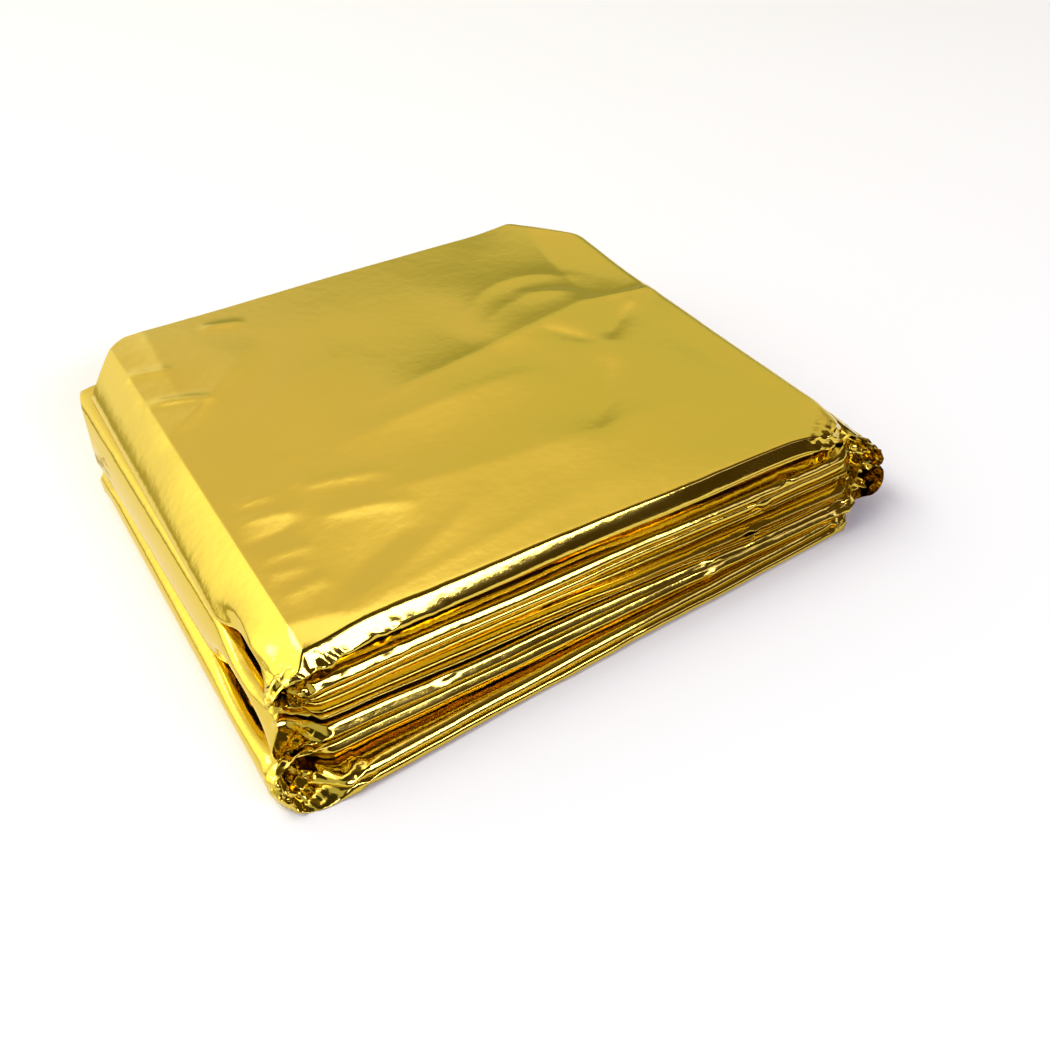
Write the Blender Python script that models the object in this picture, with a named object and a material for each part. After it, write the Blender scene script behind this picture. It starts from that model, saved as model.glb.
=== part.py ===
"""Emergency foil blanket, folded into a packet. Metres, +Z up, lying on z = 0.

The blanket is one film. It is folded lengthwise into a strip of three layers, and the
strip is then folded back and forth into six runs, one on top of the other. The long
folds of the strip make the ridges of the front. The strip turns round three times at
the left end and twice at the right end. The film is modelled as a sheet of 1 mm, so
each layer stands for a bundle of the thin ones.

X runs along the front, Y from front to back. The origin is the middle of the base.
"""

import math
from collections import namedtuple

import bmesh
import bpy

MM = 0.001
NAME = "foil_blanket"

# The film, in millimetres.
SHEET_THICKNESS = 1.0
FILM_COLOUR = (0.66, 0.44, 0.05, 1.0)
FILM_ROUGHNESS = 0.22

# Segments along a run and round a bend of the strip, and across a layer and round a fold.
RUN_STEPS = 13
BEND_STEPS = 7
LAYER_STEPS = 5
FOLD_STEPS = 5

# The six runs of the strip, lowest first, in millimetres. "height" is that of the strip's
# middle layer, and "pitch" the distance from one layer to the next. "left" and "right"
# are where the run ends and its bend starts. "front" and "back" say how far its folds
# reach at its left end, middle and right end. Its free edge stays "recess" behind its
# front fold, and the front fold opens by "opening" pitches more than the layers do.
Run = namedtuple(
    "Run",
    "height pitch left right front_left front_mid front_right"
    " back_left back_mid back_right recess opening",
)
RUNS = (
    Run(1.62, 1.12, -62.9, 62.5, -71.4, -67.5, -64.0, 36.0, 51.0, 45.0, 6.0, 0.0),
    Run(5.02, 1.10, -63.4, 65.0, -65.2, -63.2, -62.8, 36.0, 52.0, 46.0, 4.5, 0.0),
    Run(8.68, 1.14, -62.5, 66.0, -62.8, -62.2, -61.5, 38.0, 53.0, 48.0, 4.5, 0.0),
    Run(13.50, 1.22, -60.4, 65.5, -60.5, -60.0, -60.5, 48.0, 57.5, 50.0, 6.0, 0.0),
    Run(17.40, 1.24, -57.8, 63.6, -59.5, -59.3, -59.5, 43.0, 57.8, 50.0, 9.0, 0.2),
    Run(21.20, 1.25, -58.2, 62.5, -58.4, -57.6, -58.6, 41.0, 60.0, 41.0, 13.0, 0.9),
)

# The bends between the runs, lowest first. "stretch" is how much further out a bend
# reaches than a half circle does.
Bend = namedtuple("Bend", "outward stretch")
LEFT = -1.0
RIGHT = 1.0
BENDS = (
    Bend(LEFT, 1.9),
    Bend(RIGHT, 1.5),
    Bend(LEFT, 1.6),
    Bend(RIGHT, 1.5),
    Bend(LEFT, 2.3),
)

# Where the table's left and right values apply, how far the rounded back corners reach in
# from there, in millimetres, and how round they are: 1 is a straight cut.
PACKET_LEFT = -67.0
PACKET_RIGHT = 64.0
CORNER_REACH = 15.0
CORNER_POWER = 1.6
SLOPE_STEP = 0.5

# How much further out the front and the back folds reach than a half circle does, and how
# far back a front fold opens, in millimetres.
FRONT_ROUNDNESS = 1.4
BACK_ROUNDNESS = 1.5
OPENING_REACH = 8.0
# The front folds aren't straight: each swings to and fro by this much, in millimetres, as
# many times along its run as the run's place in the stack and this share give.
FRONT_SWING = 0.45
SWING_SHARE = 0.4

# How the stack settles, in millimetres. Each share below goes with "climb", which counts
# the runs upwards from 0.
# The two runs of the middle bend lie apart, and close up at the front left corner.
GAPE = 0.6
GAPE_FRONT = -62.0
GAPE_REACH_X = 30.0
GAPE_REACH_Y = 26.0
GAPE_OF_CLIMB = ((1.0, 0.0), (2.0, -1.0), (3.0, 1.0), (4.0, 0.0))
# The runs above that bend rise towards the middle.
CROWN = 0.8
CROWN_REACH_X = 66.0
CROWN_REACH_Y = 60.0
CROWN_OF_CLIMB = ((2.0, 0.0), (3.0, 1.0))
# The right bends stand out more at the front than at the back.
FLARE = 1.6
FLARE_START_X = 40.0
FLARE_REACH_X = 25.0
FLARE_HALF_DEPTH = 60.0
FLARE_OF_CLIMB = ((0.0, 0.0), (1.0, 1.0), (4.0, 1.0), (5.0, 0.0))


def smooth(value):
    """0 below 0, 1 above 1, and an even S between."""
    value = min(max(value, 0.0), 1.0)
    return value * value * (3.0 - 2.0 * value)


def mix(first, second, share):
    return first + (second - first) * share


def eased(count):
    """Shares from 0 to 1, closer together near both ends."""
    return [(1.0 - math.cos(math.pi * step / count)) / 2.0 for step in range(count + 1)]


def half_turn(count):
    """Angles from a quarter turn down to a quarter turn up, without the two ends."""
    return [math.pi * (step / count - 0.5) for step in range(1, count)]


def front_of(run, x):
    """The front fold's reach at x: a parabola through three values, and its swing."""
    share = (x - PACKET_LEFT) / (PACKET_RIGHT - PACKET_LEFT)
    place = RUNS.index(run)
    swing = math.sin(math.tau * (1.0 + SWING_SHARE * place) * share + place)
    return (
        run.front_left * (1.0 - share) * (1.0 - 2.0 * share)
        + run.front_mid * 4.0 * share * (1.0 - share)
        + run.front_right * share * (2.0 * share - 1.0)
        + FRONT_SWING * swing
    )


def back_of(run, x):
    """The back's reach at x: its middle value, rounded off at both corners."""
    left = max(0.0, 1.0 - (x - PACKET_LEFT) / CORNER_REACH) ** CORNER_POWER
    right = max(0.0, 1.0 - (PACKET_RIGHT - x) / CORNER_REACH) ** CORNER_POWER
    return (
        run.back_mid
        - (run.back_mid - run.back_left) * left
        - (run.back_mid - run.back_right) * right
    )


def strip_stations():
    """(part, along) of each cross-section of the strip, from its lower end to its top.

    Even parts are the runs and odd ones the bends between them. "along" is a run's share
    from its start to its end, or the angle round a bend.
    """
    stations = []
    for index in range(len(RUNS)):
        stations += [(2 * index, share) for share in eased(RUN_STEPS)]
        if index < len(BENDS):
            stations += [(2 * index + 1, turn) for turn in half_turn(BEND_STEPS)]
    return stations


def section_points():
    """(level, share, bow, facing) of each point across the strip, to its free edge.

    The level counts pitches up from the middle layer, the share goes from 0 at the front
    to 1 at the back, the bow says how far round a fold it is, and the film's one face
    points along the angle "facing", a quarter turn being up.
    """
    up, down = math.pi / 2.0, 3.0 * math.pi / 2.0
    across = eased(LAYER_STEPS)
    turns = [math.pi + turn for turn in half_turn(FOLD_STEPS)]
    points = [(1.0, 1.0 - share, 0.0, up) for share in across]
    points += [(0.5 + 0.5 * math.sin(turn), 0.0, math.cos(turn), turn) for turn in turns]
    points += [(0.0, share, 0.0, down) for share in across]
    turns.reverse()
    points += [(-0.5 - 0.5 * math.sin(turn), 1.0, -math.cos(turn), turn) for turn in turns]
    points += [(-1.0, 1.0 - share, 0.0, up) for share in across]
    return points


def depth_of(run, x, point, side):
    """Y of a section's point on one side of the film, in millimetres."""
    level, share, bow, facing = point
    front_fold = FRONT_ROUNDNESS * run.pitch * (1.0 + run.opening) / 2.0
    steepness = (back_of(run, x + SLOPE_STEP) - back_of(run, x - SLOPE_STEP)) / SLOPE_STEP
    back_stretch = math.hypot(1.0, steepness / 2.0)
    back_fold = BACK_ROUNDNESS * back_stretch * run.pitch / 2.0
    half_sheet = SHEET_THICKNESS / 2.0
    start = front_of(run, x) + half_sheet + (run.recess if level == -1.0 else front_fold)
    end = back_of(run, x) - half_sheet * back_stretch - back_fold
    fold = front_fold if bow < 0.0 else back_fold
    stretch = back_stretch if bow > 0.0 else 1.0
    return mix(start, end, share) + bow * fold + side * half_sheet * stretch * math.cos(facing)


def rise_of(run, x, point, side):
    """How far a section's point is above the strip's middle layer, in millimetres."""
    level, _, _, facing = point
    if level > -0.5:
        ahead = depth_of(run, x, point, 0.0) - front_of(run, x)
        level -= run.opening * (1.0 - level) * smooth(1.0 - ahead / OPENING_REACH)
    return level * run.pitch + side * SHEET_THICKNESS / 2.0 * math.sin(facing)


def on_run(part, along, point, side):
    """The place of a point on a run. The first run goes to the left, the next to the right."""
    run = RUNS[part // 2]
    rightward = part % 4 == 2
    x = mix(run.left, run.right, along if rightward else 1.0 - along)
    rise = rise_of(run, x, point, side)
    z = run.height + (rise if rightward else -rise)
    return x, depth_of(run, x, point, side), z


def on_bend(part, along, point, side):
    """The place of a point on the bend between two runs."""
    bend = BENDS[part // 2]
    lower, upper = RUNS[part // 2 : part // 2 + 2]
    share = (1.0 + math.sin(along)) / 2.0
    if bend.outward == LEFT:
        centre = mix(lower.left, upper.left, share)
    else:
        centre = mix(lower.right, upper.right, share)
    rise = mix(rise_of(lower, centre, point, side), rise_of(upper, centre, point, side), share)
    strip_radius = (upper.height - lower.height) / 2.0
    radius = strip_radius - bend.outward * rise
    reach = bend.outward * bend.stretch * math.cos(along)
    strip_x = centre + reach * strip_radius
    lower_y = depth_of(lower, strip_x, point, side)
    upper_y = depth_of(upper, strip_x, point, side)
    z = (lower.height + upper.height) / 2.0 + radius * math.sin(along)
    return centre + reach * radius, mix(lower_y, upper_y, share), z


def between(value, marks):
    """The height at a value on a line through the marks, which are (value, height) pairs."""
    for (start, low), (end, high) in zip(marks, marks[1:]):
        if start <= value <= end:
            return mix(low, high, (value - start) / (end - start))
    return marks[0][1] if value < marks[0][0] else marks[-1][1]


def settled(climb, x, y, z):
    """The place once the stack has gaped, risen and flared. Climb counts runs upwards."""
    gape = GAPE * smooth(1.0 - (x - PACKET_LEFT) / GAPE_REACH_X)
    gape *= smooth(1.0 - (y - GAPE_FRONT) / GAPE_REACH_Y)
    gape *= between(climb, GAPE_OF_CLIMB)
    crown = CROWN * max(0.0, 1.0 - (x / CROWN_REACH_X) ** 2)
    crown *= max(0.0, 1.0 - (y / CROWN_REACH_Y) ** 2)
    crown *= between(climb, CROWN_OF_CLIMB)
    flare = FLARE * smooth((x - FLARE_START_X) / FLARE_REACH_X)
    flare *= between(climb, FLARE_OF_CLIMB)
    return x - flare * y / FLARE_HALF_DEPTH, y, z - gape + crown


def packet_point(station, point, side):
    """The place of one point of the film once it is folded, in millimetres."""
    part, along = station
    if part % 2 == 0:
        return settled(part // 2, *on_run(part, along, point, side))
    climb = part // 2 + (1.0 + math.sin(along)) / 2.0
    return settled(climb, *on_bend(part, along, point, side))


def middle_of(values):
    return (min(values) + max(values)) / 2.0


def folded_film():
    """The film's outline at each station of the strip, in metres, with its base centred.

    An outline goes along one side of the film and back along the other.
    """
    section = section_points()
    outlines = [
        [packet_point(station, point, 1.0) for point in section]
        + [packet_point(station, point, -1.0) for point in reversed(section)]
        for station in strip_stations()
    ]
    places = [place for outline in outlines for place in outline]
    middle_x = middle_of([x for x, _, _ in places])
    middle_y = middle_of([y for _, y, _ in places])
    return [
        [((x - middle_x) * MM, (y - middle_y) * MM, z * MM) for x, y, z in outline]
        for outline in outlines
    ]


def loft_film(mesh, outlines):
    """Joins each outline to the next, and closes the strip's two ends."""
    film = bmesh.new()
    rings = [[film.verts.new(place) for place in outline] for outline in outlines]
    count = len(rings[0])
    for ring, following in zip(rings, rings[1:]):
        for index in range(count):
            after = (index + 1) % count
            film.faces.new((ring[index], ring[after], following[after], following[index]))
    for ring in (rings[0], rings[-1]):
        for index in range(count // 2 - 1):
            far = count - 1 - index
            film.faces.new((ring[index], ring[index + 1], ring[far - 1], ring[far]))
    bmesh.ops.recalc_face_normals(film, faces=film.faces[:])
    film.to_mesh(mesh)
    film.free()


def film_material():
    material = bpy.data.materials.new("gold_film")
    material.use_nodes = True
    shader = material.node_tree.nodes["Principled BSDF"]
    shader.inputs["Base Color"].default_value = FILM_COLOUR
    shader.inputs["Metallic"].default_value = 1.0
    shader.inputs["Roughness"].default_value = FILM_ROUGHNESS
    return material


def make_blanket(collection):
    mesh = bpy.data.meshes.new(NAME)
    loft_film(mesh, folded_film())
    mesh.materials.append(film_material())
    mesh.shade_smooth()
    blanket = bpy.data.objects.new(NAME, mesh)
    collection.objects.link(blanket)
    return blanket


def main():
    for old in list(bpy.data.objects):
        bpy.data.objects.remove(old)
    collection = bpy.data.collections.new("emergency_foil_blanket")
    bpy.context.scene.collection.children.link(collection)
    make_blanket(collection)


main()
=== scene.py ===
"""Emergency foil blanket: the looks of the folded film, its light, floor and camera.

The film follows the folds of its solid: a strip of layers, folded back and forth into six
runs, one on top of the other. Here it has no thickness, and five layers in each run. All
lengths in the tables are in millimetres, in the frame of the fold table below.
"""

import math
from collections import namedtuple

import bmesh
import bpy
from mathutils import Matrix, Vector, noise


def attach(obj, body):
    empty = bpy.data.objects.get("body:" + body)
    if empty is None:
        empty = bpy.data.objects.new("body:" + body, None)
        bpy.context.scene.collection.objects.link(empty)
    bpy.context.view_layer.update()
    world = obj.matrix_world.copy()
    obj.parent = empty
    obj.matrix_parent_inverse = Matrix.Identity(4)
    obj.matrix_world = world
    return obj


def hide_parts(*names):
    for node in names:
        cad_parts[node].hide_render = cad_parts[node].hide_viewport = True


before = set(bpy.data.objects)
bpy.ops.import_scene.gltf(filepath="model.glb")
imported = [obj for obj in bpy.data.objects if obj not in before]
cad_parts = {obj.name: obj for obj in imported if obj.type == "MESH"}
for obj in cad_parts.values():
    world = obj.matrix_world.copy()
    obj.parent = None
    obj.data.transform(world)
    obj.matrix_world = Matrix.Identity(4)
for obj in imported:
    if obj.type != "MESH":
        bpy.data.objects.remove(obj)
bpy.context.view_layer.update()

MM = 0.001
NODE = "foil_blanket"
# Where the part's origin lies in the fold table's frame.
ORIGIN_X = 1.423
ORIGIN_Y = -5.532

# --- The folds -----------------------------------------------------------------------

# The six runs of the strip, lowest first. "height" is that of the strip's middle layer
# and "half" half its thickness. "left" and "right" are where the run ends and its bend
# starts. "front" and "back" say how far its folds reach at its left end, middle and
# right end, and "recess" how far its free edge stays behind, at the height "edge".
Run = namedtuple(
    "Run",
    "height half left right front_left front_mid front_right"
    " back_left back_mid back_right recess edge",
)
RUNS = (
    Run(1.62, 1.62, -62.9, 64.5, -71.4, -66.6, -62.9, 36.0, 51.0, 45.0, 4.5, 3.38),
    Run(5.02, 1.60, -63.4, 65.0, -65.2, -63.4, -62.8, 36.0, 52.0, 46.0, 3.2, 3.45),
    Run(8.68, 1.64, -64.2, 66.0, -62.8, -62.2, -61.5, 38.0, 53.0, 48.0, 3.0, 11.00),
    Run(13.50, 1.72, -61.4, 65.5, -60.8, -60.2, -60.0, 55.0, 57.5, 50.0, 1.6, 11.05),
    Run(17.40, 1.74, -57.8, 63.6, -59.5, -59.1, -59.0, 43.0, 57.8, 50.0, 3.4, 17.60),
    Run(21.20, 1.75, -56.8, 63.3, -58.3, -58.0, -58.6, 41.0, 60.0, 41.0, 3.6, 18.05),
)

# Each run has two front folds, an upper and a lower one. The marks say how far behind the
# run's front and how high the film goes, from top to bottom, near the packet's left end
# and near its right end. The film rounds them off.
Lip = namedtuple("Lip", "left right")
LIPS = (
    (
        Lip(
            ((2.4, 3.30), (1.6, 3.20), (1.3, 3.00), (0.8, 2.50), (0.7, 2.20), (0.8, 1.90), (1.2, 1.80)),
            ((2.6, 3.30), (1.8, 3.20), (1.5, 3.00), (1.1, 2.50), (1.0, 2.20), (1.1, 1.90), (1.4, 1.80)),
        ),
        Lip(
            ((1.2, 1.75), (0.6, 1.60), (0.15, 1.10), (0.0, 0.60), (0.2, 0.10), (0.8, 0.00)),
            ((1.2, 1.75), (0.6, 1.60), (0.15, 1.10), (0.0, 0.60), (0.2, 0.10), (0.8, 0.00)),
        ),
    ),
    (
        Lip(
            ((1.5, 6.60), (0.9, 6.45), (0.7, 6.20), (0.15, 5.50), (0.0, 5.20), (0.1, 4.90), (0.5, 4.80)),
            ((1.5, 6.20), (1.0, 6.10), (0.7, 5.80), (0.3, 5.30), (0.1, 5.00), (0.1, 4.70), (0.5, 4.60)),
        ),
        Lip(
            ((1.7, 4.60), (1.4, 4.30), (1.4, 3.80), (1.9, 3.50)),
            ((1.6, 4.40), (1.3, 4.20), (1.3, 3.80), (1.8, 3.50)),
        ),
    ),
    (
        Lip(
            ((1.3, 11.25), (0.8, 11.20), (0.6, 11.05), (0.8, 10.75), (1.2, 10.60)),
            ((1.6, 7.60), (1.3, 7.50), (1.2, 7.35), (1.3, 7.20), (1.7, 7.10)),
        ),
        Lip(
            ((1.5, 8.60), (1.0, 8.10), (0.75, 7.75), (0.2, 7.05), (0.0, 6.75), (0.2, 6.50), (0.8, 6.40)),
            ((1.2, 7.05), (0.8, 7.00), (0.5, 6.75), (0.1, 6.20), (0.0, 5.95), (0.2, 5.75), (0.8, 5.70)),
        ),
    ),
    (
        Lip(
            ((1.0, 13.70), (0.4, 13.60), (0.15, 13.35), (0.3, 12.95), (0.8, 12.60), (1.0, 12.40)),
            ((1.0, 12.80), (0.4, 12.70), (0.15, 12.45), (0.5, 12.00), (1.5, 11.20), (1.6, 9.60)),
        ),
        Lip(
            ((0.8, 12.20), (0.0, 12.05), (-0.4, 11.80), (-0.3, 11.50), (0.4, 11.40)),
            ((1.5, 9.00), (0.0, 8.50), (-0.4, 8.20), (-0.3, 7.90), (0.4, 7.80)),
        ),
    ),
    (
        Lip(
            (
                (1.8, 16.70), (1.0, 16.45), (0.8, 16.25), (0.2, 15.55),
                (0.0, 15.25), (0.0, 14.95), (0.4, 14.85),
            ),
            (
                (1.6, 16.40), (0.8, 16.25), (0.5, 16.00), (0.15, 15.60),
                (0.1, 15.30), (0.15, 15.00), (0.5, 14.90),
            ),
        ),
        Lip(
            ((1.0, 14.70), (0.2, 14.60), (-0.1, 14.40), (-0.4, 14.05), (-0.3, 13.85), (0.3, 13.80)),
            ((1.0, 14.60), (0.3, 14.50), (0.0, 14.25), (-0.2, 13.70), (-0.1, 13.20), (0.5, 13.10)),
        ),
    ),
    (
        Lip(
            (
                (3.6, 22.97), (2.6, 22.95), (2.3, 22.75), (0.4, 20.45),
                (0.0, 19.95), (-0.1, 19.55), (0.1, 19.20), (0.9, 19.10),
            ),
            (
                (3.5, 22.97), (2.6, 22.95), (2.4, 22.75), (2.3, 22.50),
                (1.7, 21.40), (1.1, 20.25), (1.1, 20.05), (1.9, 20.00),
            ),
        ),
        Lip(
            ((2.6, 18.90), (2.0, 18.75), (1.8, 18.50), (1.9, 18.00), (2.6, 17.70)),
            ((2.8, 19.20), (2.1, 19.00), (1.9, 18.70), (2.0, 18.10), (2.8, 17.70)),
        ),
    ),
)
LIP_LEFT = -50.0
LIP_RIGHT = 42.0

# The heights of the layers away from the front folds, in halves of the strip's thickness
# from its middle: the folds between the first two and the next two are at the front.
FRONT_LEVELS = (1.0, 0.06, -0.02, -0.92, -1.0)
BACK_LEVELS = (1.0, 0.94, 0.06, -0.04, -1.0)

# The bends between the runs, lowest first. "reach" is how far out a bend goes, in halves of
# its height. "low" and "high" shape its lower and upper half: a half circle has 0.5 for
# both, a sharper corner less and a slant more. "droop" is how far its furthest point
# hangs down.
Bend = namedtuple("Bend", "outward reach low high droop")
LEFT = -1.0
RIGHT = 1.0
BENDS = (
    Bend(LEFT, 1.90, 0.35, 0.30, 0.0),
    Bend(RIGHT, 1.50, 0.40, 0.15, 2.6),
    Bend(LEFT, 1.05, 0.18, 0.15, 0.0),
    Bend(RIGHT, 1.50, 0.12, 0.75, 2.4),
    Bend(LEFT, 2.10, 0.05, 0.85, 0.35),
)
# How late, on the way up, a bend's section turns from the lower run's into the upper one's.
BEND_LAG = 3
# The inner layers stay behind the outer one at the front of a bend, which leaves a hollow.
HOLLOW = 4.5
HOLLOW_POWER = 4
HOLLOW_REACH = 6.0
HOLLOW_LEFT = -57.0
HOLLOW_RIGHT = 58.0

LAYERS = 5
RUN_STEPS = (90, 90, 90, 90, 96, 150)
BEND_STEPS = 20
FLAT_STEPS = 10
LIP_STEPS = 15
BACK_STEPS = 6
# Steps across the top layer, across the outside of a bend, and across the other layers.
TOP_STEPS = 130
SIDE_STEPS = 46
HIDDEN_STEPS = 9
# How much closer together the steps along a run are at both ends: 1 is a half circle's.
EASING = 0.5
# How much closer together the steps across a layer are at the front: a hidden one's, and
# those across the outside of a bend.
FRONT_WEIGHT = 2.4
SIDE_WEIGHT = 1.7

# The packet's two ends, and how far and how sharply its back corners are rounded off. The
# back's slope is taken over the slope step. The roundness is that of the back folds. A
# layer is at its own height once it is as far behind the front as the opening reaches.
PACKET_LEFT = -67.0
PACKET_RIGHT = 64.0
CORNER_REACH = 15.0
CORNER_POWER = 1.6
SLOPE_STEP = 0.5
BACK_ROUNDNESS = 1.5
OPENING_REACH = 8.0

# The front folds sway to and fro, and finer ripples lie on that: (wavelength, depth). The
# folds rise and sink a little as well. The steps through the noise set runs and folds apart.
SWAY = 0.15
SWAY_SHARE = 0.4
RIPPLES = ((17.0, 0.20), (5.0, 0.10))
RIPPLE_RUN_STEP = 3.7
RIPPLE_FOLD_STEP = 0.8
WAVES = ((31.0, 0.16), (9.0, 0.08))
WAVE_RUN_STEP = 2.9

# How the stack settles: it gapes and is skewed near its left front corner, its middle is
# raised and its bends flare at the right. Each share goes with "climb", which counts the
# runs upwards.
GAPE = 3.2
GAPE_X = -70.0
GAPE_REACH_X = 20.0
GAPE_Y = -47.0
GAPE_REACH_Y = 16.0
GAPE_OF_CLIMB = (
    (1.0, 0.0), (2.0, 0.9), (2.4, 0.5), (3.0, 0.0), (3.3, 0.0), (4.0, 1.15), (4.3, 0.8), (4.9, 0.0),
)
SKEW_START_X = -40.0
SKEW_REACH_X = 24.0
SKEW_FRONT = -30.0
SKEW_OF_CLIMB = ((1.0, 0.0), (2.0, -0.018), (3.0, -0.018), (4.0, 0.011), (5.0, 0.0))
CROWN = 0.6
CROWN_REACH_X = 66.0
CROWN_REACH_Y = 60.0
CROWN_OF_CLIMB = ((2.0, 0.0), (3.0, 1.0))
FLARE = 1.6
FLARE_START_X = 40.0
FLARE_REACH_X = 25.0
FLARE_HALF_DEPTH = 60.0
FLARE_OF_CLIMB = ((0.0, 0.0), (1.0, 1.0), (4.0, 1.0), (5.0, 0.0))
# The layers of the top run close at its free right end, on the height "END_Z".
END_X = 60.0
END_REACH_X = 3.3
END_Z = 19.9
END_CLOSING = 0.97
# The creases of the top fade out below the top, and the slack film's waves at the floor.
TOP_FADE_Z = 19.0
TOP_FADE = 3.0
FLOOR_FADE = 2.0

# The creases of the top face: from one end to the other, how far the
# line bows to its left, how far it slopes down on its left and on its right, how high it
# is, and how round its crest is: 1 for a sharp fold line. One below 0 is a trough.
Crease = namedtuple("Crease", "x0 y0 x1 y1 bow left right height round")
TOP_CREASES = (
    Crease(-24.0, 1.0, 60.0, 18.0, -2.5, 9.0, 12.0, 1.30, 1.1),
    Crease(12.0, 8.0, 54.0, 24.0, 15.0, 9.0, 5.5, 0.80, 1.1),
    Crease(14.0, 9.0, 48.0, 16.0, 9.0, 4.5, 9.0, 0.52, 1.2),
    Crease(30.0, 25.5, 49.0, 16.5, 0.0, 2.2, 3.0, 0.40, 1.2),
    Crease(55.0, 64.0, 45.5, 8.0, -1.5, 12.0, 5.0, -0.80, 1.0),
    Crease(44.0, 66.0, 74.0, 26.0, 0.0, 3.0, 14.0, 1.30, 1.0),
    Crease(-48.0, 64.0, -50.0, 24.0, 0.0, 9.0, 5.0, 0.55, 1.0),
    Crease(-60.0, 12.0, -28.0, 42.0, -3.0, 8.0, 4.0, 0.55, 1.2),
    Crease(-37.0, 52.5, -26.0, 49.0, 0.0, 1.7, 1.5, 0.36, 1.8),
    Crease(-58.0, 28.0, -43.0, 21.5, 0.5, 1.9, 1.8, 0.45, 1.6),
    Crease(-58.0, 41.5, -47.0, 37.0, 0.0, 2.0, 1.6, 0.32, 1.8),
    Crease(-43.0, -16.0, -23.0, -22.5, 0.8, 1.8, 1.7, 0.26, 1.6),
    Crease(-56.0, -20.5, -42.0, -23.5, 0.8, 1.6, 1.5, 0.19, 1.6),
    Crease(-54.0, -14.5, -45.0, -16.2, 0.0, 1.2, 1.2, 0.16, 2.0),
    Crease(-43.0, -15.5, -36.0, -12.8, 0.0, 1.1, 1.1, 0.15, 2.0),
    Crease(-43.0, -26.5, -22.0, -34.0, 1.0, 2.0, 1.8, 0.23, 1.6),
    Crease(-57.0, -27.0, -44.0, -25.5, -0.5, 2.2, 2.0, -0.22, 1.8),
    Crease(-56.0, -32.5, -44.0, -33.5, 0.5, 1.5, 1.5, 0.15, 1.6),
    Crease(-56.0, -36.0, -47.0, -38.5, 0.0, 1.8, 1.6, 0.14, 1.8),
    Crease(-56.0, -44.0, -45.0, -42.5, 0.4, 2.0, 1.6, 0.14, 1.8),
    Crease(-54.0, -53.5, -8.0, -35.0, -2.0, 3.5, 4.5, 0.30, 1.4),
    Crease(-56.0, -56.0, 2.0, -48.0, 1.2, 3.0, 2.5, 0.18, 1.4),
    Crease(-46.0, -47.0, -24.0, -38.0, 1.5, 5.0, 3.0, -0.22, 1.6),
    Crease(-48.0, -24.0, 52.0, -33.0, -2.5, 9.0, 18.0, 0.70, 1.2),
    Crease(-48.0, 5.0, -8.0, 24.0, 2.0, 7.0, 12.0, 0.30, 1.6),
    Crease(-34.0, -9.0, 24.0, -8.0, 1.8, 6.0, 9.0, 0.70, 1.3),
    Crease(27.0, 8.0, 37.0, -4.0, 0.0, 2.2, 2.6, -0.34, 1.4),
    Crease(38.0, -5.0, 54.0, 8.0, 0.5, 2.6, 2.4, -0.60, 1.4),
    Crease(40.0, 12.0, 64.0, 9.0, 1.2, 2.0, 1.8, 0.52, 1.3),
    Crease(46.0, 3.0, 64.0, 14.0, 0.0, 1.8, 2.0, 0.45, 1.4),
    Crease(36.0, -9.0, 14.0, -35.0, 1.2, 3.0, 4.0, -0.60, 1.4),
    Crease(51.0, -2.0, 56.0, -52.0, 1.5, 9.0, 5.0, -0.35, 1.4),
)
CREASE_SPAN = 5.0

# Where the stack is pushed out of shape: the place, how far that reaches, and the push.
Push = namedtuple("Push", "x y z reach_x reach_y reach_z push_x push_y push_z")
PUSHES = (
    Push(-67.0, -60.0, 21.5, 12.0, 14.0, 7.0, 1.5, 0.3, -1.2),
    Push(-57.0, -59.0, 22.5, 14.0, 9.5, 6.5, 0.0, -0.4, -1.7),
    Push(-64.0, -61.0, 14.5, 8.0, 8.0, 3.5, 0.0, 0.0, 2.4),
    Push(64.0, -59.0, 22.5, 18.0, 15.0, 7.0, 0.0, -0.3, -2.3),
    Push(-60.0, -47.0, 15.6, 8.0, 17.0, 3.4, 0.0, 0.0, -3.2),
    Push(-63.0, -47.0, 7.2, 7.5, 17.0, 3.2, 0.0, 0.0, -2.6),
    Push(-65.5, -47.0, 17.4, 5.5, 17.0, 4.2, 3.0, 0.0, 0.3),
    Push(-68.0, -47.0, 9.2, 5.5, 17.0, 4.5, 2.3, 0.0, 0.4),
    Push(-68.0, -73.0, 3.0, 9.0, 9.0, 6.0, 2.0, 3.0, 0.0),
)

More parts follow.
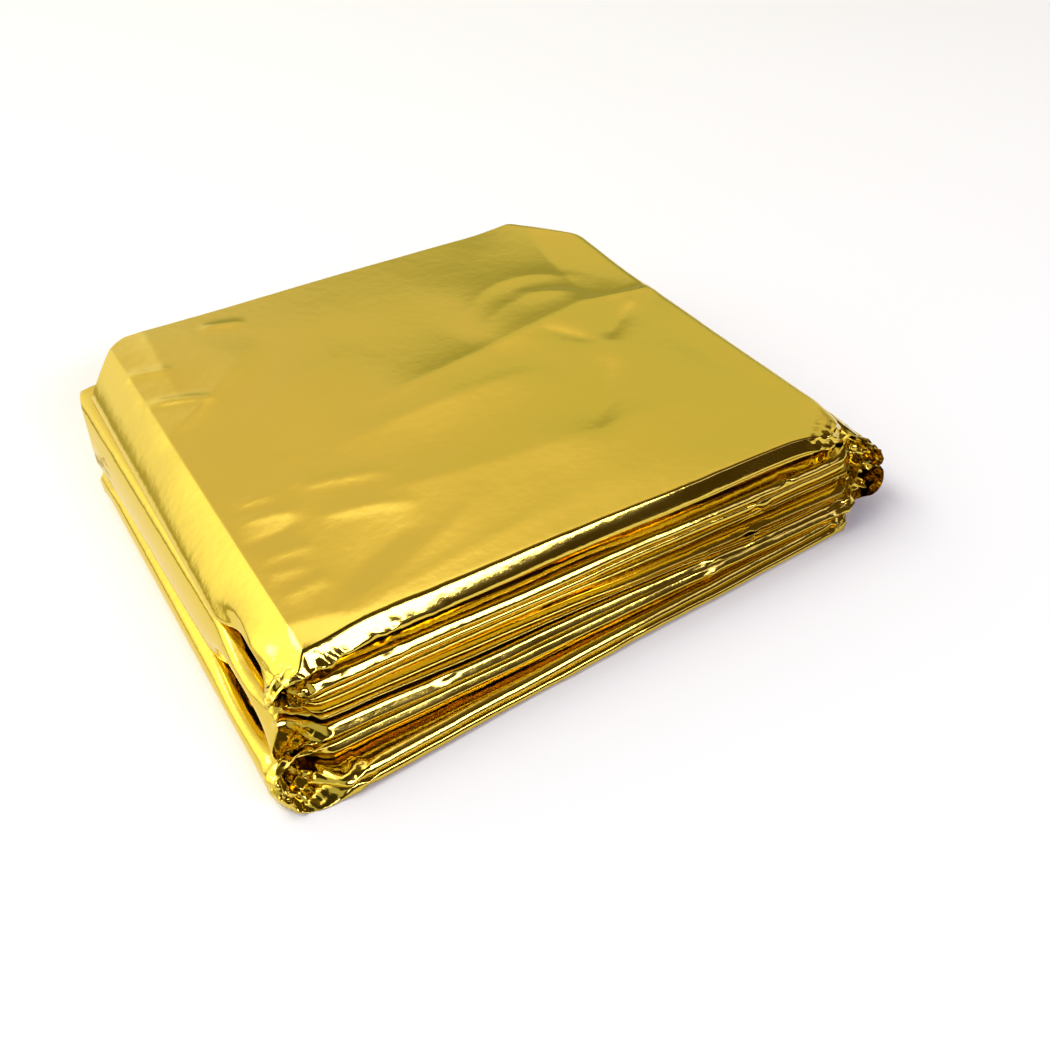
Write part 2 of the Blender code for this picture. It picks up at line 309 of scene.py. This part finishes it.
# Where the film is crumpled: the place, how far it reaches and how deep it goes.
Crumple = namedtuple("Crumple", "x y z reach depth")
CRUMPLES = (
    Crumple(-62.0, -60.0, 15.5, 6.0, 1.5),
    Crumple(-60.0, -56.5, 17.5, 4.5, 1.3),
    Crumple(-60.5, -60.5, 8.8, 5.0, 1.2),
    Crumple(-53.0, -59.5, 19.0, 5.0, 0.8),
    Crumple(-42.0, -59.5, 19.0, 6.0, 0.5),
    Crumple(-32.0, -59.0, 19.0, 4.0, 0.4),
    Crumple(-65.0, -65.0, 3.0, 7.5, 1.5),
    Crumple(-55.0, -68.0, 2.0, 5.0, 0.7),
    Crumple(-34.5, -62.0, 7.6, 2.0, 0.6),
    Crumple(45.0, -58.5, 16.5, 2.5, 1.0),
    Crumple(38.0, -60.0, 13.0, 4.0, 0.6),
    Crumple(36.0, -60.5, 8.5, 4.0, 0.7),
    Crumple(24.0, -62.0, 6.5, 5.0, 0.4),
    Crumple(65.0, -55.0, 13.0, 9.0, 1.1),
    Crumple(68.0, -59.0, 11.5, 7.0, 1.1),
    Crumple(67.0, -54.0, 6.5, 8.0, 1.3),
    Crumple(60.0, -60.0, 3.0, 8.0, 1.1),
    Crumple(57.0, -58.0, 21.0, 7.0, 0.9),
    Crumple(-66.0, 32.0, 7.0, 9.0, 1.0),
)
# The crumples' zigzag waves: how each one runs, and which way it moves the film. The core
# says how wide a crumple's deepest part is, and the share how much of its depth a wave has.
CRUMPLE_CORE = 1.3
CRUMPLE_SHARE = 0.5
CRUMPLE_WAVES = (
    (Vector((0.42, 0.16, 0.30)), Vector((0.2, 0.7, -0.5))),
    (Vector((-0.23, 0.32, 0.26)), Vector((-0.5, 0.4, 0.7))),
    (Vector((0.12, -0.09, 0.41)), Vector((0.6, 0.6, 0.3))),
    (Vector((0.60, 0.44, -0.36)), Vector((0.3, -0.3, 0.4))),
)

# A slack film isn't quite flat anywhere: (wavelength, depth).
SLACK = ((38.0, 0.28), (15.0, 0.13), (6.0, 0.02))
SLACK_START = 5.0


def smooth(value):
    """0 below 0, 1 above 1, and an even S between."""
    value = min(max(value, 0.0), 1.0)
    return value * value * (3.0 - 2.0 * value)


def mix(first, second, share):
    return first + (second - first) * share


def even(count):
    return [step / count for step in range(count + 1)]


def eased(count):
    """Shares from 0 to 1, a little closer together near both ends."""
    return [mix(share, (1.0 - math.cos(math.pi * share)) / 2.0, EASING) for share in even(count)]


def half_turn(count):
    """Angles from a quarter turn down to a quarter turn up, without the two ends."""
    return [math.pi * (step / count - 0.5) for step in range(1, count)]


def bend_turns(bend):
    """The angles of a bend's cross-sections. A bend with a flat bottom gets more of them there."""
    turns = half_turn(BEND_STEPS)
    first = (1.0 + math.sin(turns[0])) / 2.0
    flat = [(step / FLAT_STEPS) ** (1.0 / bend.low) for step in range(1, FLAT_STEPS)]
    return [math.asin(2.0 * share - 1.0) for share in flat if share < first] + turns


def noise_sum(waves, x, y, z):
    """Smooth noise at a place, from pairs of a wavelength and a depth."""
    return sum(depth * noise.noise(Vector((x / length, y, z))) for length, depth in waves)


def across_packet(x, left, middle, right):
    """The value at x of a parabola through those at the packet's left end, middle and right end."""
    share = (x - PACKET_LEFT) / (PACKET_RIGHT - PACKET_LEFT)
    return (
        left * (1.0 - share) * (1.0 - 2.0 * share)
        + middle * 4.0 * share * (1.0 - share)
        + right * share * (2.0 * share - 1.0)
    )


def front_of(run, x, lip):
    """The front's reach at x: three values, sway, and the ripples of one of the front folds."""
    share = (x - PACKET_LEFT) / (PACKET_RIGHT - PACKET_LEFT)
    place = RUNS.index(run)
    swing = math.sin(math.tau * (1.0 + SWAY_SHARE * place) * share + place)
    reach = across_packet(x, run.front_left, run.front_mid, run.front_right)
    return reach + SWAY * swing + noise_sum(RIPPLES, x, RIPPLE_RUN_STEP * place, RIPPLE_FOLD_STEP * lip)


def back_of(run, x):
    """The back's reach at x: its middle value, rounded off at both corners."""
    left = max(0.0, 1.0 - (x - PACKET_LEFT) / CORNER_REACH) ** CORNER_POWER
    right = max(0.0, 1.0 - (PACKET_RIGHT - x) / CORNER_REACH) ** CORNER_POWER
    return (
        run.back_mid
        - (run.back_mid - run.back_left) * left
        - (run.back_mid - run.back_right) * right
    )


def strip_stations():
    """(part, along) of each cross-section: even parts are runs, odd ones the bends."""
    stations = []
    for index in range(len(RUNS)):
        stations += [(2 * index, share) for share in eased(RUN_STEPS[index])]
        if index < len(BENDS):
            stations += [(2 * index + 1, turn) for turn in bend_turns(BENDS[index])]
    return stations


def layer_steps(part, layer):
    """The shares at which a layer has points: many where it shows, else few and near the front."""
    on_top = part >= 2 * len(RUNS) - 3
    if layer == 0 and on_top:
        return even(TOP_STEPS)
    outer = {LEFT: 0, RIGHT: LAYERS - 1}
    if part % 2 == 1 and layer == outer[BENDS[part // 2].outward]:
        return [share ** SIDE_WEIGHT for share in even(SIDE_STEPS)]
    return [share ** FRONT_WEIGHT for share in even(HIDDEN_STEPS)]


def section_points(part):
    """(layer, share) of each point across the strip, from free edge to free edge.

    The layer has a fraction round a fold. The share goes from 0 at the front to 1 at the
    back.
    """
    points = []
    for layer in range(LAYERS):
        steps = layer_steps(part, layer)
        forward = layer % 2 == 0
        points += [(float(layer), share) for share in (reversed(steps) if forward else steps)]
        if layer < LAYERS - 1:
            count = LIP_STEPS if forward else BACK_STEPS
            points += [(layer + step / count, 0.0 if forward else 1.0) for step in range(1, count)]
    return points


def curve_at(marks, share):
    """A point on the curve from the first mark to the last one that rounds off the others."""
    pieces = len(marks) - 2
    index = min(int(share * pieces), pieces - 1)
    part = share * pieces - index
    place = []
    for before, corner, after in zip(marks[index], marks[index + 1], marks[index + 2]):
        start = before if index == 0 else (before + corner) / 2.0
        end = after if index == pieces - 1 else (corner + after) / 2.0
        place.append(mix(mix(start, corner, part), mix(corner, end, part), part))
    return place


def lip_at(run, x, fold, share):
    """How far behind the run's front, and how high, the film is on a front fold."""
    place = RUNS.index(run)
    rightward = place % 2 == 1
    lip = LIPS[place][fold if rightward else 1 - fold]
    if not rightward:
        share = 1.0 - share
    to_right = min(max((x - LIP_LEFT) / (LIP_RIGHT - LIP_LEFT), 0.0), 1.0)
    (behind, height), (right_behind, right_height) = (curve_at(marks, share) for marks in lip)
    height = mix(height, right_height, to_right) + noise_sum(WAVES, x, 0.0, WAVE_RUN_STEP * place)
    return mix(behind, right_behind, to_right), height


def front_end(run, x, layer):
    """Where a layer meets its front fold, or ends: Y and its height."""
    fold = layer // 2
    if layer == LAYERS - 1:
        return front_of(run, x, 1) + run.recess, run.edge
    behind, height = lip_at(run, x, fold, float(layer % 2))
    return front_of(run, x, fold) + behind, height


def layer_place(run, x, layer, share):
    """Y and the height of a point on a layer."""
    start, low = front_end(run, x, layer)
    steepness = (back_of(run, x + SLOPE_STEP) - back_of(run, x - SLOPE_STEP)) / SLOPE_STEP
    end = back_of(run, x) - BACK_ROUNDNESS * math.hypot(1.0, steepness / 2.0) * run.half / 2.0
    y = mix(start, end, share)
    rightward = RUNS.index(run) % 2 == 1
    level = mix(FRONT_LEVELS[layer], BACK_LEVELS[layer], smooth(share)) * (1.0 if rightward else -1.0)
    near = smooth(1.0 - (y - start) / OPENING_REACH)
    return y, mix(run.height + run.half * level, low, near)


def hollow_at(x, layer, share):
    """How far back the inner layers are pushed at the front of the bends."""
    left = smooth((HOLLOW_LEFT - x) / HOLLOW_REACH) * smooth(layer)
    right = smooth((x - HOLLOW_RIGHT) / HOLLOW_REACH) * smooth(LAYERS - 1 - layer)
    return HOLLOW * (left + right) * (1.0 - share) ** HOLLOW_POWER


def section_place(run, x, point):
    """Y of a section's point, and how far it is above the strip's middle layer."""
    layer, share = point
    below = int(layer)
    turn = layer - below
    if turn == 0.0:
        y, height = layer_place(run, x, below, share)
    elif share == 0.0:
        behind, height = lip_at(run, x, below // 2, turn)
        y = front_of(run, x, below // 2) + behind
    else:
        (y, low), (_, high) = (layer_place(run, x, index, share) for index in (below, below + 1))
        angle = math.pi * (turn - 0.5)
        y += BACK_ROUNDNESS * abs(high - low) / 2.0 * math.cos(angle)
        height = (low + high) / 2.0 + (high - low) / 2.0 * math.sin(angle)
    y += hollow_at(x, layer, share)
    rightward = RUNS.index(run) % 2 == 1
    return y, height - run.height if rightward else run.height - height


def on_run(part, along, point):
    """The place of a point on a run. The first run goes to the left, the next to the right."""
    run = RUNS[part // 2]
    rightward = part % 4 == 2
    x = mix(run.left, run.right, along if rightward else 1.0 - along)
    y, rise = section_place(run, x, point)
    return x, y, run.height + (rise if rightward else -rise)


def bend_reach(bend, share):
    """How far out a bend is at a share of its height, as a part of its full reach."""
    highest = bend.low / (bend.low + bend.high)
    peak = highest ** bend.low * (1.0 - highest) ** bend.high
    return share ** bend.low * (1.0 - share) ** bend.high / peak


def on_bend(part, along, point):
    """The place of a point on the bend between two runs."""
    bend = BENDS[part // 2]
    lower, upper = RUNS[part // 2 : part // 2 + 2]
    share = (1.0 + math.sin(along)) / 2.0
    if bend.outward == LEFT:
        centre = mix(lower.left, upper.left, share)
    else:
        centre = mix(lower.right, upper.right, share)
    strip_radius = (upper.height - lower.height) / 2.0
    reach = bend_reach(bend, share)
    strip_x = centre + bend.outward * bend.reach * reach * strip_radius
    lower_y, lower_rise = section_place(lower, strip_x, point)
    upper_y, upper_rise = section_place(upper, strip_x, point)
    outside = -bend.outward * mix(lower_rise, upper_rise, share)
    radius = max(strip_radius + outside, 0.0)
    x = centre + bend.outward * bend.reach * reach * min(radius, strip_radius + lower.half)
    z = (lower.height + upper.height) / 2.0 + radius * math.sin(along) - bend.droop * reach
    return x, mix(lower_y, upper_y, share ** BEND_LAG), z


def between(value, marks):
    """The height at a value on a line through the marks, which are (value, height) pairs."""
    for (start, low), (end, high) in zip(marks, marks[1:]):
        if start <= value <= end:
            return mix(low, high, (value - start) / (end - start))
    return marks[0][1] if value < marks[0][0] else marks[-1][1]


def settled(climb, x, y, z):
    """The place once the stack has gaped, risen and flared. Climb counts runs upwards."""
    gape = GAPE * smooth(1.0 - (x - GAPE_X) / GAPE_REACH_X)
    gape *= smooth(1.0 - abs(y - GAPE_Y) / GAPE_REACH_Y)
    gape *= between(climb, GAPE_OF_CLIMB)
    crown = CROWN * max(0.0, 1.0 - (x / CROWN_REACH_X) ** 2)
    crown *= max(0.0, 1.0 - (y / CROWN_REACH_Y) ** 2)
    crown *= between(climb, CROWN_OF_CLIMB)
    flare = FLARE * smooth((x - FLARE_START_X) / FLARE_REACH_X)
    flare *= between(climb, FLARE_OF_CLIMB)
    skew = smooth((SKEW_START_X - x) / SKEW_REACH_X) * between(climb, SKEW_OF_CLIMB)
    x += skew * (y - SKEW_FRONT) - flare * y / FLARE_HALF_DEPTH
    return x, y, z + gape + crown


def openness(x):
    """How far apart the layers of the top run are: less and less at its rounded free end."""
    over = min(max((x - END_X) / END_REACH_X, 0.0), 1.0)
    return math.sqrt(1.0 - END_CLOSING * over ** 2)


def crease_height(crease, x, y):
    """How much a crease raises the top face at a place: most in its middle."""
    run_x, run_y = crease.x1 - crease.x0, crease.y1 - crease.y0
    length = math.hypot(run_x, run_y)
    along = ((x - crease.x0) * run_x + (y - crease.y0) * run_y) / length ** 2
    if not 0.0 < along < 1.0:
        return 0.0
    aside = ((y - crease.y0) * run_x - (x - crease.x0) * run_y) / length
    aside -= 4.0 * crease.bow * along * (1.0 - along)
    off = abs(aside) / (crease.left if aside > 0.0 else crease.right)
    if off > CREASE_SPAN:
        return 0.0
    taper = smooth(4.0 * along * (1.0 - along))
    rim = math.exp(-CREASE_SPAN ** crease.round)
    return crease.height * taper * (math.exp(-off ** crease.round) - rim)


def top_relief(x, y):
    return sum(crease_height(crease, x, y) for crease in TOP_CREASES)


def fold_wave(value):
    """A zigzag between -1 and 1."""
    return 4.0 * abs(value - math.floor(value) - 0.5) - 1.0


def pushed(place):
    """The place once the stack is pushed out of shape there."""
    shift = Vector((0.0, 0.0, 0.0))
    for push in PUSHES:
        gap = Vector((
            (place.x - push.x) / push.reach_x,
            (place.y - push.y) / push.reach_y,
            (place.z - push.z) / push.reach_z,
        ))
        shift += Vector((push.push_x, push.push_y, push.push_z)) * smooth(1.0 - gap.length)
    return place + shift


def crumpled(place):
    """The place once the film is crumpled there."""
    shift = Vector((0.0, 0.0, 0.0))
    for crumple in CRUMPLES:
        gap = (place - Vector((crumple.x, crumple.y, crumple.z))).length
        strength = crumple.depth * smooth(CRUMPLE_CORE * (1.0 - gap / crumple.reach))
        for wave, direction in CRUMPLE_WAVES:
            shift += direction * (strength * CRUMPLE_SHARE * fold_wave(wave.dot(place)))
    return place + shift


def slack(x, y, z):
    return sum(
        depth * noise.noise(Vector((x / length, y / length, z / length + SLACK_START)))
        for length, depth in SLACK
    )


def packet_point(station, point):
    """The place of one point of the film once it is folded, in metres in the part's frame."""
    part, along = station
    if part % 2 == 0:
        climb = part // 2
        x, y, z = settled(climb, *on_run(part, along, point))
        if climb == len(RUNS) - 1:
            z = mix(END_Z, z, openness(x))
    else:
        climb = part // 2 + (1.0 + math.sin(along)) / 2.0
        x, y, z = settled(climb, *on_bend(part, along, point))
    top = smooth(climb - len(RUNS) + 2) * smooth(1.0 - point[0]) * smooth((z - TOP_FADE_Z) / TOP_FADE)
    if top > 0.0:
        z += top * top_relief(x, y)
    z += slack(x, y, z) * smooth(z / FLOOR_FADE)
    place = crumpled(pushed(Vector((x, y, z))))
    place.z = max(place.z, 0.0)
    return (place.x - ORIGIN_X) * MM, (place.y - ORIGIN_Y) * MM, place.z * MM


SAME_MARK = 1e-9


def join_rows(film, row, marks, following, next_marks):
    """Faces between two rows of points, which may have different numbers of points."""
    index, other = 0, 0
    while index < len(row) - 1 or other < len(following) - 1:
        ahead = marks[index + 1] if index < len(row) - 1 else math.inf
        next_ahead = next_marks[other + 1] if other < len(following) - 1 else math.inf
        if abs(ahead - next_ahead) < SAME_MARK:
            film.faces.new((row[index], row[index + 1], following[other + 1], following[other]))
            index, other = index + 1, other + 1
        elif ahead < next_ahead:
            film.faces.new((row[index], row[index + 1], following[other]))
            index += 1
        else:
            film.faces.new((row[index], following[other + 1], following[other]))
            other += 1


def path_marks(section):
    """How far along the strip's section each point is, so that rows can be joined."""
    marks = []
    for layer, share in section:
        below = int(layer)
        forward = below % 2 == 0
        travelled = (1.0 - share) if forward else share
        marks.append(2.0 * below + travelled if layer == below else 2.0 * below + 1.0 + layer - below)
    return marks


def make_film():
    mesh = bpy.data.meshes.new("film")
    film = bmesh.new()
    sections = {part: section_points(part) for part in range(2 * len(RUNS) - 1)}
    marks = {part: path_marks(section) for part, section in sections.items()}
    rows = []
    for station in strip_stations():
        part = station[0]
        row = [film.verts.new(packet_point(station, point)) for point in sections[part]]
        rows.append((row, marks[part]))
    for (row, row_marks), (following, next_marks) in zip(rows, rows[1:]):
        join_rows(film, row, row_marks, following, next_marks)
    for face in film.faces:
        face.smooth = True
    film.to_mesh(mesh)
    film.free()
    piece = bpy.data.objects.new("film", mesh)
    bpy.context.collection.objects.link(piece)
    return piece


# --- The gold film's finish ----------------------------------------------------------

FILM_COLOUR = (0.75, 0.55, 0.07, 1.0)
# The film is a little duller in some places than in others: the roughness at both ends,
# the values of the noise that these go with, and the noise's scale and detail.
FILM_GLOSSIEST = 0.08
FILM_DULLEST = 0.15
HAZE_LOW = 0.3
HAZE_HIGH = 0.7
HAZE_SCALE = 55.0
HAZE_DETAIL = 3.0
# The fine crinkle of the film. Its height is in metres.
GRAIN_SCALE = 420.0
GRAIN_DETAIL = 3.0
GRAIN_STRENGTH = 0.25
GRAIN_HEIGHT = 0.0002


def film_material():
    material = bpy.data.materials.new("gold_film")
    material.use_nodes = True
    nodes = material.node_tree.nodes
    links = material.node_tree.links
    shader = nodes["Principled BSDF"]
    shader.inputs["Base Color"].default_value = FILM_COLOUR
    shader.inputs["Metallic"].default_value = 1.0
    coordinates = nodes.new("ShaderNodeTexCoord")
    haze = nodes.new("ShaderNodeTexNoise")
    haze.inputs["Scale"].default_value = HAZE_SCALE
    haze.inputs["Detail"].default_value = HAZE_DETAIL
    links.new(coordinates.outputs["Object"], haze.inputs["Vector"])
    gloss = nodes.new("ShaderNodeMapRange")
    gloss.inputs["From Min"].default_value = HAZE_LOW
    gloss.inputs["From Max"].default_value = HAZE_HIGH
    gloss.inputs["To Min"].default_value = FILM_GLOSSIEST
    gloss.inputs["To Max"].default_value = FILM_DULLEST
    links.new(haze.outputs["Fac"], gloss.inputs["Value"])
    links.new(gloss.outputs["Result"], shader.inputs["Roughness"])
    grain = nodes.new("ShaderNodeTexNoise")
    grain.inputs["Scale"].default_value = GRAIN_SCALE
    grain.inputs["Detail"].default_value = GRAIN_DETAIL
    links.new(coordinates.outputs["Object"], grain.inputs["Vector"])
    bump = nodes.new("ShaderNodeBump")
    bump.inputs["Strength"].default_value = GRAIN_STRENGTH
    bump.inputs["Distance"].default_value = GRAIN_HEIGHT
    links.new(grain.outputs["Fac"], bump.inputs["Height"])
    links.new(bump.outputs["Normal"], shader.inputs["Normal"])
    return material


# --- Floor, light and camera ---------------------------------------------------------

FLOOR_SIZE = 6.0
FLOOR_COLOUR = (0.87, 0.87, 0.83, 1.0)
FLOOR_ROUGHNESS = 0.9


def make_floor():
    bpy.ops.mesh.primitive_plane_add(size=FLOOR_SIZE)
    floor = bpy.context.object
    floor.name = "floor"
    material = bpy.data.materials.new("floor")
    material.use_nodes = True
    shader = material.node_tree.nodes["Principled BSDF"]
    shader.inputs["Base Color"].default_value = FLOOR_COLOUR
    shader.inputs["Roughness"].default_value = FLOOR_ROUGHNESS
    floor.data.materials.append(material)


def heading(azimuth, elevation):
    """A unit vector: azimuth in degrees from the front, +90 being the right side."""
    a, e = math.radians(azimuth), math.radians(elevation)
    return Vector((math.sin(a) * math.cos(e), -math.cos(a) * math.cos(e), math.sin(e)))


# The studio around the packet. Each zone is a soft patch of the surroundings: where its
# middle is, how far it reaches, over how many degrees it fades, and its brightness.
WORLD_BASE = (0.60, 0.60, 0.56)
Zone = namedtuple("Zone", "azimuth elevation reach fade colour")
ZONES = (
    Zone(-150.0, 42.0, 32.0, 24.0, (1.15, 1.12, 1.10)),
    Zone(-120.0, 38.0, 14.0, 24.0, (2.00, 2.00, 1.80)),
    Zone(-144.0, -14.0, 17.0, 6.5, (0.50, 0.47, 0.20)),
    Zone(141.0, 42.0, 23.0, 15.0, (0.84, 0.75, 0.66)),
    Zone(150.0, 60.0, 12.0, 14.0, (1.02, 0.90, 0.80)),
    Zone(135.0, 4.0, 20.0, 24.0, (0.74, 0.74, 0.48)),
    Zone(150.0, -2.0, 16.0, 17.0, (0.42, 0.43, 0.17)),
    Zone(168.0, 72.0, 14.0, 15.0, (1.60, 1.50, 1.70)),
    Zone(0.0, 72.0, 20.0, 8.0, (0.05, 0.04, 0.015)),
    Zone(95.0, 62.0, 16.0, 10.0, (0.16, 0.12, 0.05)),
    Zone(45.0, 50.0, 22.0, 8.0, (0.07, 0.05, 0.02)),
    Zone(20.0, 5.0, 44.0, 8.0, (0.06, 0.04, 0.015)),
    Zone(75.0, 22.0, 28.0, 12.0, (0.09, 0.06, 0.02)),
    Zone(42.0, 30.0, 2.0, 5.0, (1.30, 1.20, 2.60)),
)
Softbox = namedtuple("Softbox", "name azimuth elevation distance width height radiance colour")
SOFTBOXES = (
    Softbox("key", -132.0, 56.0, 1.2, 0.6, 0.6, 6.0, (1.0, 1.0, 0.95)),
    Softbox("front", 12.0, 32.5, 1.2, 0.80, 0.20, 8.5, (1.0, 1.0, 1.7)),
)


def make_world():
    world = bpy.data.worlds.new("studio")
    world.use_nodes = True
    nodes = world.node_tree.nodes
    links = world.node_tree.links
    background = nodes["Background"]
    direction = nodes.new("ShaderNodeTexCoord").outputs["Generated"]
    base = nodes.new("ShaderNodeRGB")
    base.outputs[0].default_value = (*WORLD_BASE, 1.0)
    colour = base.outputs[0]
    for zone in ZONES:
        dot = nodes.new("ShaderNodeVectorMath")
        dot.operation = "DOT_PRODUCT"
        links.new(direction, dot.inputs[0])
        dot.inputs[1].default_value = heading(zone.azimuth, zone.elevation)
        ramp = nodes.new("ShaderNodeMapRange")
        ramp.interpolation_type = "SMOOTHSTEP"
        ramp.inputs["From Min"].default_value = math.cos(math.radians(zone.reach + zone.fade))
        ramp.inputs["From Max"].default_value = math.cos(math.radians(zone.reach))
        links.new(dot.outputs["Value"], ramp.inputs["Value"])
        blend = nodes.new("ShaderNodeMix")
        blend.data_type = "RGBA"
        links.new(ramp.outputs["Result"], blend.inputs["Factor"])
        links.new(colour, blend.inputs["A"])
        blend.inputs["B"].default_value = (*zone.colour, 1.0)
        colour = blend.outputs["Result"]
    links.new(colour, background.inputs["Color"])
    bpy.context.scene.world = world


def make_softbox(box):
    light = bpy.data.lights.new(box.name, "AREA")
    light.shape = "RECTANGLE"
    light.size = box.width
    light.size_y = box.height
    # An area light of one watt has a radiance of 1 / (pi * area).
    light.energy = box.radiance * math.pi * box.width * box.height
    light.color = box.colour
    lamp = bpy.data.objects.new(box.name, light)
    away = heading(box.azimuth, box.elevation)
    lamp.location = away * box.distance
    lamp.rotation_euler = away.to_track_quat("Z", "Y").to_euler()
    bpy.context.collection.objects.link(lamp)


# The photograph's camera, fitted to the packet: its angles in degrees, its distance and
# how far it stands aside and above in millimetres, and its focal length in pixels. What
# is nearer than the clip distance, in metres, isn't drawn.
FRAME_PIXELS = 1050.0
FOCAL_PIXELS = 1175.0
SENSOR_WIDTH = 36.0
CAMERA_AZIMUTH = -29.95
CAMERA_ELEVATION = 39.65
CAMERA_ROLL = -1.92
CAMERA_DISTANCE = 265.4
CAMERA_ASIDE = 15.75
CAMERA_ABOVE = -12.75
CAMERA_CLIP = 0.005


def make_camera():
    data = bpy.data.cameras.new("camera")
    data.sensor_width = SENSOR_WIDTH
    data.lens = SENSOR_WIDTH * FOCAL_PIXELS / FRAME_PIXELS
    data.clip_start = CAMERA_CLIP
    camera = bpy.data.objects.new("camera", data)
    bpy.context.collection.objects.link(camera)
    back = heading(CAMERA_AZIMUTH, CAMERA_ELEVATION)
    right = (-back).cross(Vector((0.0, 0.0, 1.0))).normalized()
    up = right.cross(-back)
    place = back * CAMERA_DISTANCE + right * CAMERA_ASIDE + up * CAMERA_ABOVE
    place = (place - Vector((ORIGIN_X, ORIGIN_Y, 0.0))) * MM
    level = Matrix((right, up, back)).transposed().to_4x4()
    roll = Matrix.Rotation(math.radians(CAMERA_ROLL), 4, "Z")
    camera.matrix_world = Matrix.Translation(place) @ level @ roll
    bpy.context.scene.camera = camera


def main():
    make_camera()
    make_world()
    make_floor()
    for box in SOFTBOXES:
        make_softbox(box)
    bpy.context.scene.view_settings.view_transform = "Standard"
    film = make_film()
    film.data.materials.append(film_material())
    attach(film, "root")
    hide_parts(NODE)


main()
